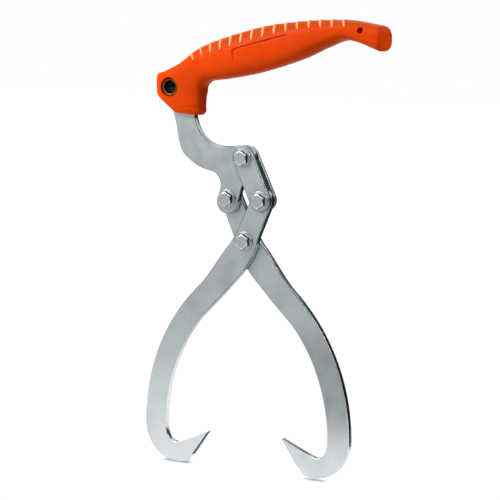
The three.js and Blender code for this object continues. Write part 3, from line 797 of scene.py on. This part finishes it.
def makeGripSkin():
    marks, places, rings, across = gripRings()
    piece, count = makeSolid("ribbedGrip", rings, [orangeMoulding]), len(rings[0])
    ridged = np.interp(places, ribs["ledgePlaces"], (0, 1, 1, 0))
    # each point's way along the grip, its share of the way out to the ridge line, and how much of a ledge there
    # is; the two last points are the middles of the ends
    for name, values in (("along", np.append(np.repeat(marks, count), (0, marks[-1])) * mm),
                         ("across", np.append(np.ravel(across), (0, 0))),
                         ("ridged", np.append(np.repeat(ridged, count), (0, 0)))):
        piece.data.attributes.new(name, "FLOAT", "POINT").data.foreach_set("value", values)
    return piece


def newTree(name, sockets):
    # a Geometry Nodes tree with the named inputs, and with them what they give inside the tree
    tree = bpy.data.node_groups.new(name, "GeometryNodeTree")
    for socket, kind in (("Geometry", "Geometry"), *sockets, ("Finish", "Material")):
        tree.interface.new_socket(socket, in_out="INPUT", socket_type="NodeSocket" + kind)
    tree.interface.new_socket("Geometry", in_out="OUTPUT", socket_type="NodeSocketGeometry")
    return tree, addNode(tree, "NodeGroupInput").outputs


def endTree(tree, geometry, given):
    plain = addNode(tree, "GeometryNodeRealizeInstances", {"Geometry": geometry}).outputs[0]
    finished = addNode(tree, "GeometryNodeSetMaterial", {"Geometry": plain, "Material": given["Finish"]}).outputs[0]
    addNode(tree, "NodeGroupOutput", {0: finished})
    return tree


def falling(value, power):
    # falls from 1 at nought to 0 at one
    return maths("SUBTRACT", 1.0, maths("POWER", maths("MINIMUM", value, 1.0), power))


def ribTree():
    # Raises the ribs over the top of the grip and sinks the skin beside its ridge line, along the normals.
    names = ("Rib count", "First rib", "Pitch", "Width", "Rise", "Lean", "Half width", "Stop short", "Ledge")
    tree, given = newTree("gripRibs", [(name, "Float") for name in names])
    along, across, ridged = [
        addNode(tree, "GeometryNodeInputNamedAttribute", {"Name": name}, data_type="FLOAT").outputs["Attribute"]
        for name in ("along", "across", "ridged")]
    # the ribs are chevrons: each arm leans towards the free end with its way out from the middle plane
    position = addNode(tree, "GeometryNodeInputPosition").outputs[0]
    sideways = addNode(tree, "ShaderNodeSeparateXYZ", {0: position}).outputs["Y"]
    out = maths("DIVIDE", maths("ABSOLUTE", sideways), given["Half width"])
    lean = maths("MULTIPLY", given["Lean"], maths("POWER", out, ribs["leanPower"]))
    slid = maths("SUBTRACT", maths("SUBTRACT", along, lean), given["First rib"])
    number = maths("DIVIDE", slid, given["Pitch"])
    last = maths("SUBTRACT", given["Rib count"], 1.0)
    held = maths("MINIMUM", maths("MAXIMUM", maths("ROUND", number), 0.0), last)
    offset = maths("ABSOLUTE", maths("MULTIPLY", maths("SUBTRACT", number, held), given["Pitch"]))
    taper = falling(maths("DIVIDE", across, given["Stop short"]), ribs["tipPower"])
    halfWidth = maths("MULTIPLY_ADD", maths("MULTIPLY", given["Width"], 0.5), taper, 0.00001)
    crown = falling(maths("DIVIDE", offset, halfWidth), ribs["crownPower"])
    shaped = maths("MULTIPLY", crown, maths("POWER", taper, ribs["tipRise"]))
    # the skin above the ridge line sinks towards it, and stands proud again under it
    sunk = maths("MULTIPLY", ramp(across, ribs["ledgeFrom"], ribs["ledgeDeepest"]), ridged)
    sunk = maths("MULTIPLY", sunk, maths("LESS_THAN", across, ribs["ledgeEnd"]))
    height = maths("SUBTRACT", maths("MULTIPLY", shaped, given["Rise"]), maths("MULTIPLY", sunk, given["Ledge"]))
    normal = addNode(tree, "GeometryNodeInputNormal").outputs[0]
    move = addNode(tree, "ShaderNodeVectorMath", {0: normal, "Scale": height}, operation="SCALE").outputs[0]
    # between two ribs, where the skin gets a painted shade
    valley = maths("MULTIPLY", ramp(offset, 0.0, ribs["valleyShadeFull"], ribs["valleyShadeLeast"], 1.0), ridged)
    valley = maths("MULTIPLY", valley, ramp(across, ribs["valleyShadeEnds"], ribs["valleyShadeFades"]))
    marked = given["Geometry"]
    for name, value in (("ribOffset", offset), ("ribHalf", halfWidth), ("valley", valley)):
        marked = addNode(tree, "GeometryNodeStoreNamedAttribute", {"Geometry": marked, "Name": name, "Value": value},
                         data_type="FLOAT", domain="POINT").outputs[0]
    moved = addNode(tree, "GeometryNodeSetPosition", {"Geometry": marked, "Offset": move}).outputs[0]
    return endTree(tree, moved, given)


def runTree(piece, tree, values):
    # the tree as a modifier, its inputs set by their sockets' identifiers, and applied
    modifier = piece.modifiers.new(tree.name, "NODES")
    modifier.node_group = tree
    for item in tree.interface.items_tree:
        if item.item_type == "SOCKET" and item.in_out == "INPUT" and item.name in values:
            modifier[item.identifier] = values[item.name]
    applied(piece)


gripSkin = makeGripSkin()
ribSpan = (ribs["lastShare"] - ribs["firstShare"]) * outerLength
runTree(gripSkin, ribTree(), {
    "Rib count": float(ribs["count"]), "First rib": ribs["firstShare"] * outerLength * mm,
    "Pitch": ribSpan / (ribs["count"] - 1) * mm, "Width": ribs["width"] * mm, "Rise": ribs["rise"] * mm,
    "Lean": ribs["lean"] * mm, "Half width": grip["width"] / 2 * mm, "Stop short": ribs["stopShort"],
    "Ledge": ribs["ledge"] * mm, "Finish": orangeMoulding,
})
print("grip skin", len(gripSkin.data.polygons), "faces, outer edge", round(float(outerLength), 1), "mm")

# the bare panel on both sides, a shallow sunk field; its walls go by their inset and their height over the skin
panel = {
    "depth": 1.05, "lowDepth": 0.1, "walls": ((-0.25, 4), (-0.25, 0.15), (0, -0.12), (0.5, -3.55)),
    "start": (0.3692, 0.5743),
    "shares": [
        [(0.372, 0.526), (0.395, 0.524), (0.421, 0.541)],
        [(0.493, 0.589)],
        [(0.58, 0.653)],
        [(0.61, 0.678), (0.628, 0.688), (0.623, 0.729)],
        [(0.615, 0.8)],
        [(0.612, 0.84), (0.605, 0.838), (0.584, 0.828)],
        [(0.534, 0.795)],
        [(0.39, 0.698)],
        [(0.372, 0.688), (0.364, 0.678), (0.365, 0.658)],
    ],
}


def skinDepthAt(point):
    # how far the grip's skin stands in front of its middle, under a point of the side view
    place, up = placeFor(point)
    section = sectionsAt(np.array([place]))[0]
    return halfWidthAt(section[4], section[5], up) * max(0.0, 1 - abs(up) ** section[6]) ** (1 / section[6])


def denser(loop, step=1.2):
    result = []
    for a, b in zip(loop, loop[1:] + loop[:1]):
        parts = max(1, round(math.dist(a, b) / step))
        result += [(a[0] + (b[0] - a[0]) * i / parts, a[1] + (b[1] - a[1]) * i / parts) for i in range(parts)]
    return result


def makePanelCutter(name, sign):
    # a prism through the panel's outline, less a core that lies under the skin by the panel's depth
    points = [inGrip(panel["start"])]
    carryOn(points, panel["shares"], inGrip, steps=8)
    loop = denser(cleaned(points, True))
    depths = [skinDepthAt(point) for point in loop]
    cutter = makeSolid(name, [
        [(x, middleY + sign * (depth + stand), z) for (x, z), depth in zip(insetLoop(loop, inset), depths)]
        for inset, stand in panel["walls"]])
    cutWith(cutter, makeSolid("gripCore", gripRings((panel["lowDepth"], panel["depth"]), fine=False)[2]))
    return cutter


def makeRoundCutter(name, centre, profile, sides=64):
    # profile of (radius, y)
    return makeSolid(name, [[(x, y, z) for x, z in circle(centre, radius, sides)] for radius, y in profile])


rivet = {
    "boreRadius": 4.6, "tubeRadius": 5.5, "rimRadius": 6.5, "rimThick": 1.0, "lipRadius": 0.9, "rollSteps": 5,
    "setIn": 3.3, "clearance": 0.3, "recessRadius": 7.1, "sharpFrom": 50,
}
holeEdge = 0.5  # rounding at a moulded hole's mouth
rivetCentre = inGrip(grip["rivetShare"])
halfGrip = grip["width"] / 2
recessRadius = rivet["recessRadius"]
recessDepth = rivet["setIn"] + rivet["rimThick"] + rivet["clearance"]
recess = [(recessRadius + 2 * holeEdge, -1), (recessRadius + holeEdge, 0), (recessRadius, holeEdge),
          (recessRadius, recessDepth), (rivet["tubeRadius"] + rivet["clearance"], recessDepth)]
for cutter in (makePanelCutter("frontPanelCutter", -1), makePanelCutter("rearPanelCutter", 1)):
    cutWith(gripSkin, cutter)
cutWith(gripSkin, makeRoundCutter("rivetCutter", rivetCentre, [
    (radius, middleY - halfGrip + depth) for radius, depth in recess] + [
    (radius, middleY + halfGrip - depth) for radius, depth in recess[::-1]]))
cutWith(gripSkin, makeRoundCutter("smallHoleCutter", inGrip(grip["smallHoleShare"]), [
    (grip["smallHoleRadius"], middleY + sign * (halfGrip + 1)) for sign in (-1, 1)], sides=40))
# a parting groove on the collar, a little above its foot, which runs out towards the rear
groove = {
    "start": (0.12, 0.079), "end": (0.236, 0.094), "high": 0.55, "outside": 2.0,
    "shares": (0.1, 0.15, 0.19, 0.205), "depths": (-0.1, 0.4, 0.4, 0.12),  # its depth along the grip's length
}


def makeGrooveCutter():
    # finds where each column of the skin crosses the groove's line, and closes a thin band round those points
    low, high = inGrip(groove["start"]), inGrip(groove["end"])
    slope = (high[1] - low[1]) / (high[0] - low[0])
    rings = np.array(gripRings(fine=False)[2])
    above = rings[:, :, 2] - low[1] - slope * (rings[:, :, 0] - low[0])
    crossing = []
    for column in range(rings.shape[1]):
        r = min(int(np.where(above[:, column] > 0)[0][-1]), len(rings) - 2)
        share = above[r, column] / (above[r, column] - above[r + 1, column])
        crossing.append(rings[r, column] + (rings[r + 1, column] - rings[r, column]) * share)
    crossing = np.array(crossing)
    inward = crossing.mean(0) - crossing
    inward[:, 2] = 0
    inward /= np.linalg.norm(inward, axis=1)[:, None]
    shares = (crossing[:, 0] + grip["setback"]) / grip["length"]
    depth, outside = np.interp(shares, groove["shares"], groove["depths"])[:, None], -groove["outside"]
    bands = [crossing + inward * reach + np.array([0, 0, lift * groove["high"]])
             for reach, lift in ((outside, 0), (outside, 1), (depth, 1), (depth, 0))]
    return makeSolid("grooveCutter", bands, closed=True)


cutWith(gripSkin, makeGrooveCutter())
tangGap = grip["tangClearance"]
tangLoop = cleaned(bracketLoop, True)
cutWith(gripSkin, makeSolid("tangCutter", [
    [(x, -tangGap, z) for x, z in tangLoop], [(x, plateThick + tangGap, z) for x, z in tangLoop]]))
# the cuts' own faces take the moulding's finish too
for polygon in gripSkin.data.polygons:
    polygon.material_index = 0
while len(gripSkin.data.materials) > 1:
    gripSkin.data.materials.pop()
shadeByAngle(gripSkin.data, ribs["sharpFrom"])
settle(gripSkin, "grip", ["handle"])
print("grip cut", len(gripSkin.data.polygons), "faces")


def makeRivet():
    half = halfGrip - rivet["setIn"]
    bore, tube, rim, thick = rivet["boreRadius"], rivet["tubeRadius"], rivet["rimRadius"], rivet["rimThick"]
    steps = rivet["rollSteps"]
    roll, lip = thick / 2, rivet["lipRadius"]
    rimArc = [(rim - roll + roll * math.cos(a), -half + roll - roll * math.sin(a))
              for a in [math.pi / 2 * k / steps for k in range(-steps, steps + 1)]]
    lipArc = [(bore + lip - lip * math.cos(a), -half + lip - lip * math.sin(a))
              for a in [math.pi / 2 * k / steps for k in range(steps + 1)]]
    # from the neck out round the rolled rim, over the flared lip and into the bore
    front = [(tube, -half + thick)] + rimArc + lipArc[::-1]
    profile = front + [(radius, -y) for radius, y in front[::-1]]
    rings = [[(x, y + middleY, z) for x, z in circle(rivetCentre, radius)] for radius, y in profile]
    piece = makeSolid("tubularRivet", rings, [rivetSteel, darkBore], closed=True)
    centreX, _, centreZ = toRow(rivetCentre[0], 0, rivetCentre[1])
    # faces inside the bore take its painted shade
    for polygon in piece.data.polygons:
        radius = math.hypot(polygon.center.x - centreX, polygon.center.z - centreZ)
        if radius < (bore + lip / 2) * mm:
            polygon.material_index = 1
    shadeByAngle(piece.data, rivet["sharpFrom"])
    settle(piece, "grip", ["handle_rivet"])


makeRivet()
print("rivet made")

# Hexagon flange bolts and nuts: each is modelled once and placed by Geometry Nodes.
screw = {
    "shank": 3.0, "bore": 3.25, "flange": 7.1, "flangeThick": 1.4, "flangeEdge": 1.2, "acrossFlats": 10,
    "hexThick": 3.4, "nutThick": 4.4, "cornerSharpness": 28, "chamferFrom": 0.89, "chamferDegrees": 30,
    "seatGap": 0.1, "proud": 1.2, "pitch": 1.0, "threadDepth": 0.5, "threadLength": 6.9, "threadStep": 0.125,
    "runOut": 0.8, "tipChamfer": 0.75, "nutChamfer": 0.55, "flangePaintedShade": 0.4, "turnSides": 96, "sharpFrom": 34,
    "tipSlope": 0.9, "threadFlank": 1.9, "threadCrest": 0.25, "seatHigh": 0.4, "seatFlare": 0.3,
    "flatReach": 0.02, "flangeReach": 0.1,
    # steps of (in from the flange's rim, height), the second set over its edge; (out from the flats, height) over
    # the flange's face; and (radius, sink) of the dished head
    "rimFoot": ((0.3, 0.0), (0.09, 0.09), (0, 0.3)), "rimTop": ((0, -0.3), (0.08, -0.1), (0.25, 0.06), (0.55, 0.16)),
    "hexFoot": ((0.12, -0.02), (0.03, 0.04), (0, 0.15)), "dish": ((3.9, 0.005), (3.4, 0.03), (1.2, 0.04)),
}
screwAngles = turnAngles(screw["turnSides"])


def plainRing(radius, y):
    return [(radius, y, a) for a in screwAngles]


def hexRadius(angle):
    # a hexagon with a point up and slightly rounded corners
    sharpness = screw["cornerSharpness"]
    total = sum(abs(math.cos(angle - math.radians(60 * k))) ** sharpness for k in range(3))
    return screw["acrossFlats"] / 2 / total ** (1 / sharpness)


def hexRings(thick):
    # rings of (radius, y, angle) from the seat up over flange and hexagon; y grows away from the plates
    foot, flange, edge = screw["flangeThick"], screw["flange"], screw["flangeEdge"]
    face = foot + thick
    chamferStart = screw["acrossFlats"] / 2 * screw["chamferFrom"]
    drop = math.tan(math.radians(screw["chamferDegrees"]))

    def flatRing(spread, y):
        return [(hexRadius(a) + spread, y, a) for a in screwAngles]

    def coneRing(radiusFrom, sink):
        radii = [radiusFrom(hexRadius(a)) for a in screwAngles]
        return [(r, face - max(0.0, r - chamferStart) * drop - sink, a) for r, a in zip(radii, screwAngles)]

    rings = [plainRing(flange - back, y) for back, y in screw["rimFoot"]]
    rings += [plainRing(flange - back, edge + y) for back, y in screw["rimTop"]]
    rings += [flatRing(spread, foot + y) for spread, y in screw["hexFoot"]]
    # the chamfer's cone, a little lower at its rim, and the flat face
    rings += [coneRing(lambda r: r, 0.06), coneRing(lambda r: r - 0.05, 0.01),
              coneRing(lambda r: (r + chamferStart) / 2, 0)]
    rings += [plainRing(chamferStart + 0.05, face - 0.03), plainRing(chamferStart - 0.12, face)]
    return rings, face


def makeModel(name, rings, sign, closed):
    # sign -1 faces the front; a nut closes on itself, round its bore
    rings = [[(r * math.cos(a), sign * y, r * math.sin(a)) for r, y, a in ring] for ring in rings]
    model = makeSolid(name, rings, [brightZinc], closed, place=lambda *point: [value * mm for value in point])
    shadeByAngle(model.data, screw["sharpFrom"])
    # marks the six flats and, in part, the flange, where the finish paints a darker reflection
    flat = model.data.attributes.new("flat", "FLOAT", "POINT")
    for vertex, mark in zip(model.data.vertices, flat.data):
        x, y, z = vertex.co / mm
        onHexagon = abs(math.hypot(x, z) - hexRadius(math.atan2(z, x))) < screw["flatReach"]
        onFlange = abs(y) < screw["flangeThick"] + screw["flangeReach"]
        mark.value = screw["flangePaintedShade"] if onFlange else float(onHexagon)
    return model


def makeBoltModel(name, gripLength):
    # Zero is under the head. The head faces the front, the shank runs back and ends in a rolled thread.
    head, face = hexRings(screw["hexThick"])
    head += [plainRing(radius, face - sink) for radius, sink in screw["dish"]]
    shank, tip = screw["shank"], screw["tipChamfer"]
    end = -(gripLength + screw["flangeThick"] + screw["nutThick"] + screw["proud"])
    threadStart = end + screw["threadLength"]
    rows = [plainRing(shank, 0.0), plainRing(shank, threadStart + 0.1)]
    y = threadStart
    while y > end:
        chamferRadius = shank - max(0.0, tip - (y - end)) * screw["tipSlope"]
        fade = min(1.0, (threadStart - y) / screw["runOut"])
        row = []
        for a in screwAngles:
            wave = (y / screw["pitch"] + a / (2 * math.pi)) % 1.0
            depth = min(1.0, max(0.0, screw["threadFlank"] * abs(2 * wave - 1) - screw["threadCrest"]))
            row.append((min(chamferRadius, shank - screw["threadDepth"] * depth * fade), y, a))
        rows.append(row)
        y -= screw["threadStep"]
    rows.append(plainRing(shank - tip, end))
    return makeModel(name, head[::-1] + rows, -1, closed=False)


def makeNutModel(name):
    # Zero is at its seat, facing the back.
    rings, face = hexRings(screw["nutThick"])
    bore, chamfer = screw["bore"], screw["nutChamfer"]
    rings += [plainRing(bore + chamfer, face), plainRing(bore, face - chamfer), plainRing(bore, screw["seatHigh"]),
              plainRing(bore + screw["seatFlare"], 0.0)]
    return makeModel(name, rings, 1, closed=True)


def placingTree():
    # Puts one model on every point it is given.
    tree, given = newTree("placeHardware", [("Model", "Object"), ("Stand off", "Float")])
    model = addNode(tree, "GeometryNodeObjectInfo", {"Object": given["Model"]}).outputs["Geometry"]
    points = addNode(tree, "GeometryNodeMeshToPoints", {0: given["Geometry"]}).outputs[0]
    away = addNode(tree, "ShaderNodeCombineXYZ", {1: given["Stand off"]}).outputs[0]
    moved = addNode(tree, "GeometryNodeSetPosition", {"Geometry": points, "Offset": away}).outputs[0]
    placed = addNode(tree, "GeometryNodeInstanceOnPoints", {"Points": moved, "Instance": model}).outputs[0]
    return endTree(tree, placed, given)


placeHardware = placingTree()
backs = {"link": rearLayer + linkThick, "plate": rearLayer + plateThick}
fronts = {"link": -linkage["gap"] - linkThick, "plate": 0.0}
boltModels = {kind: makeBoltModel(kind + "BoltModel", backs[kind] - fronts[kind] + 2 * screw["seatGap"])
              for kind in backs}
nutModel = makeNutModel("nutModel")


def placeOnPivots(name, model, pivots, y, body, nodes):
    piece = newPiece(name, [toRow(x, 0, z) for x, z in pivots], [], [])
    runTree(piece, placeHardware, {"Model": model, "Stand off": y * mm, "Finish": brightZinc})
    settle(piece, body, nodes)


pivotSets = [
    ("link", "links", "link", {"upper_link": upperLinkPivot, "lower_link": lowerLinkPivot}),
    ("bracketPivot", "grip", "plate", {"bracket_pivot": bracketPivot}),
    ("mainPivot", "right_jaw", "plate", {"main_pivot": mainPivot}),
]
for word, body, kind, pivots in pivotSets:
    for part, model, y in (("bolt", boltModels[kind], fronts[kind] - screw["seatGap"]),
                           ("nut", nutModel, backs[kind] + screw["seatGap"])):
        placeOnPivots(word + part.capitalize() + "s", model, pivots.values(), y, body,
                      [f"{name}_{part}" for name in pivots])
for model in list(boltModels.values()) + [nutModel]:
    bpy.data.objects.remove(model)
for node, shown in frame["nodes"].items():
    if node.endswith("_sleeve"):
        shown.data.materials.clear()
        shown.data.materials.append(brightZinc)
print("bolts and nuts placed")

studio = {
    "target": (-0.00783, -0.0025, -0.14682), "azimuth": 27.4, "elevation": 7.63, "roll": 1.1,
    "distance": 1.235, "lens": 121.6, "sensor": 36, "clipEnd": 50, "worldDiffuse": 0.13,
    "floorSize": 12.0, "floorGap": 0.0002, "floorWhite": 1.04, "floorShade": 0.42, "shadeReach": 0.0036,
    "floorAlbedo": 0.6,
}


def seenRays(tree):
    # 1 for rays from the camera, mirrored or passed through, 0 for the rays that only light the object
    path = addNode(tree, "ShaderNodeLightPath").outputs
    seen = maths("MAXIMUM", path["Is Camera Ray"], path["Is Glossy Ray"])
    return maths("MAXIMUM", seen, path["Is Transmission Ray"])


def makeSheet(name, materialName, corners):
    # one face, and the empty tree of its material
    sheet = newPiece(name, corners, [(0, 1, 2, 3)], [bpy.data.materials.new(materialName)])
    return sheet, emptyTree(sheet.data.materials[0])


def makeFloor():
    # pale floor: shows white with a shade where the hooks touch it, and gives back little light from below
    half = studio["floorSize"] / 2
    z = cadBox[0].z - studio["floorGap"]
    floor, tree = makeSheet("studioFloor", "paleStudioPaper",
                            [(-half, -half, z), (half, -half, z), (half, half, z), (-half, half, z)])
    albedo = studio["floorAlbedo"]
    diffuse = addNode(tree, "ShaderNodeBsdfDiffuse", {"Color": (albedo, albedo, albedo, 1)})
    openness = addNode(tree, "ShaderNodeAmbientOcclusion", {"Distance": studio["shadeReach"]}).outputs["AO"]
    level = ramp(openness, 0.35, 0.97, studio["floorShade"], studio["floorWhite"], smooth=False)
    glow = addNode(tree, "ShaderNodeEmission", {"Color": (1, 1, 1, 1), "Strength": level})
    mixed = addNode(tree, "ShaderNodeMixShader", {0: seenRays(tree), 1: diffuse.outputs[0], 2: glow.outputs[0]})
    addNode(tree, "ShaderNodeOutputMaterial", {"Surface": mixed.outputs[0]})


def makeCard(name, middle, azimuth, width, low, high, level):
    # an upright card seen only in reflections: its middle in x and y, the way it faces as degrees to the
    # right of the view along +Y, its width, its lower and upper edge, and how bright it is
    a = math.radians(azimuth)
    across = Vector((math.cos(a), -math.sin(a), 0)) * width / 2
    corners = [Vector((middle[0], middle[1], z)) + across * side for side, z in
               ((-1, low), (1, low), (1, high), (-1, high))]
    card, tree = makeSheet(name, name + "Card", corners)
    glow = addNode(tree, "ShaderNodeEmission", {"Color": (level, level, level, 1), "Strength": 1.0})
    addNode(tree, "ShaderNodeOutputMaterial", {"Surface": glow.outputs[0]})
    card.visible_camera = card.visible_diffuse = card.visible_shadow = False


def makeLamp(name, place, size, watts):
    lamp = bpy.data.lights.new(name, "AREA")
    lamp.shape = "DISK"
    lamp.size = size
    lamp.energy = watts
    holder = bpy.data.objects.new(name, lamp)
    bpy.context.scene.collection.objects.link(holder)
    holder.location = place
    toTarget = Vector(studio["target"]) - Vector(place)
    holder.rotation_euler = toTarget.to_track_quat("-Z", "Y").to_euler()


def makeWorld():
    # white to look at and in reflections, and much dimmer as a light
    world = bpy.data.worlds.new("whiteStudio")
    bpy.context.scene.world = world
    tree = emptyTree(world)
    strength = ramp(seenRays(tree), 0.0, 1.0, studio["worldDiffuse"], 1.0, smooth=False)
    background = addNode(tree, "ShaderNodeBackground", {"Color": (1, 1, 1, 1), "Strength": strength})
    addNode(tree, "ShaderNodeOutputWorld", {"Surface": background.outputs[0]})


def makeCamera():
    camera = bpy.data.cameras.new("photoCamera")
    camera.lens = studio["lens"]
    camera.sensor_width = studio["sensor"]
    camera.sensor_fit = "HORIZONTAL"
    camera.clip_end = studio["clipEnd"]
    holder = bpy.data.objects.new("photoCamera", camera)
    bpy.context.scene.collection.objects.link(holder)
    aim = Matrix.Translation(studio["target"])
    for degrees, axis in ((studio["azimuth"], "Z"), (90 - studio["elevation"], "X"), (studio["roll"], "Z")):
        aim @= Matrix.Rotation(math.radians(degrees), 4, axis)
    holder.matrix_world = aim @ Matrix.Translation((0, 0, studio["distance"]))
    bpy.context.scene.camera = holder


makeFloor()
floorLevel = cadBox[0].z
overFloor = floorLevel + 0.0065  # near cards stand clear of it
makeCard("rightBlack", (0.18, 0.335), 25, 0.42, floorLevel, 0.05, 0.0)
makeCard("nearRightBlack", (0.17, 0.05), 8, 0.17, overFloor, -0.2, 0.0)
makeCard("middleRightBlack", (0.068, 0.2), 8, 0.145, overFloor, -0.1, 0.0)
makeCard("frontRightBlack", (0.8, -0.9), -41.6, 1.7, floorLevel, 0.3, 0.0)
makeCard("leftBlack", (-0.62, -0.04), -92, 0.3, floorLevel, -0.02, 0.0)
makeCard("backLeftBlack", (-0.5, 0.85), -30, 0.6, -0.1, 0.16, 0.02)
makeCard("frontGrey", (-0.17, -0.42), 202, 0.8, floorLevel, -0.02, 0.55)
makeCard("frontLowGrey", (0.005, -0.1), 190, 0.11, overFloor, -0.235, 0.42)
makeCard("leftHighGrey", (-0.45, -0.42), 47, 0.7, 0.1, 0.7, 0.22)
makeCard("backHookGrey", (-0.2, 0.78), 0, 0.44, -0.14, 0.22, 0.37)
makeLamp("keyLamp", (-0.76, -1.03, 0.75), 0.6, 24)
makeLamp("rightLamp", (1.0, 0.0, 0.6), 0.5, 6)
makeLamp("topLamp", (0.1, 0.25, 1.25), 0.8, 0.4)
makeWorld()
makeCamera()
bpy.context.scene.view_settings.view_transform = "Standard"
print("studio set")
